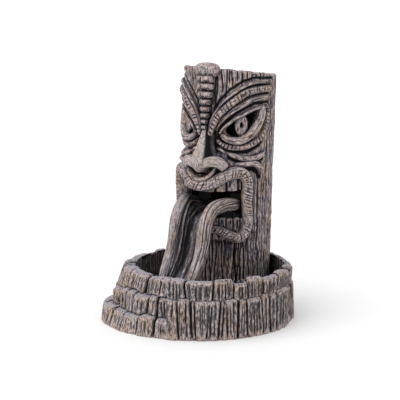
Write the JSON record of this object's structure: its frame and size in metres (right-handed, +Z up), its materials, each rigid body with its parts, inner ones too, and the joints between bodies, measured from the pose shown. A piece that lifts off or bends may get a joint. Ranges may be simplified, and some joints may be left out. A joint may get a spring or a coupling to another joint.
{
  "type": "tiki waterfall ornament",
  "caption": "Tabletop waterfall: a hollow carved log with a face stands in a stepped plank-walled basin and its channel tongue pours from the mouth into the pool.",
  "frame": {"origin": "centre of the basin's round part, on its flat underside", "axes": "+Z up the log; the face looks along -Y; the basin's steps stand out towards -X and -Y"},
  "size_m": [0.1961, 0.1981, 0.2754],
  "materials": {
    "totem_resin": "matte",
    "basin_resin": "matte",
    "tongue_resin": "matte",
    "black_plastic": "satin",
    "pump_plastic": "satin",
    "hose_vinyl": "satin",
    "sponge_foam": "matte",
    "ferrite": "matte",
    "shaft_ceramic": "satin",
    "black_rubber": "matte",
    "core_iron": "satin",
    "coil_copper": "satin",
    "potting": "gloss"
  },
  "bodies": {
    "base": {"basin": "basin_resin", "pump_housing": "pump_plastic", "pump_chamber_cover": "pump_plastic", "filter_sponge": "sponge_foam", "impeller_shaft": "shaft_ceramic", "front_bushing": "black_rubber", "rear_bushing": "black_rubber", "stator_core": "core_iron", "stator_coil": "coil_copper", "potting_block": "potting", "cable_gland": "black_rubber", "outlet_nozzle": "pump_plastic", "outlet_ring": "black_rubber", "suction_cup_1": "black_rubber", "suction_cup_2": "black_rubber", "suction_cup_3": "black_rubber", "suction_cup_4": "black_rubber"},
    "totem": {"totem_shell": "totem_resin", "tongue_ramp": "tongue_resin", "spout_tray": "black_plastic", "riser_tube": "hose_vinyl"},
    "rotor": {"impeller": "black_plastic", "rotor_magnet": "ferrite"},
    "grille": {"intake_grille": "black_plastic"},
    "regulator": {"flow_regulator": "black_plastic"}
  },
  "joints": [
    {"name": "totem_lift", "type": "slide", "parent": "base", "child": "totem", "axis": [0, 0, 1], "range_m": [0, 0.063]},
    {"name": "impeller_spin", "type": "hinge", "parent": "base", "child": "rotor", "pos_m": [0, 0.0436, 0.0314], "axis": [0, -1, 0], "continuous": true},
    {"name": "grille_slide", "type": "slide", "parent": "base", "child": "grille", "axis": [0, -1, 0], "range_m": [0, 0.008]},
    {"name": "regulator_turn", "type": "hinge", "parent": "base", "child": "regulator", "pos_m": [0.022, 0.0396, 0.0374], "axis": [1, 0, 0], "range_deg": [0, 90]}
  ]
}
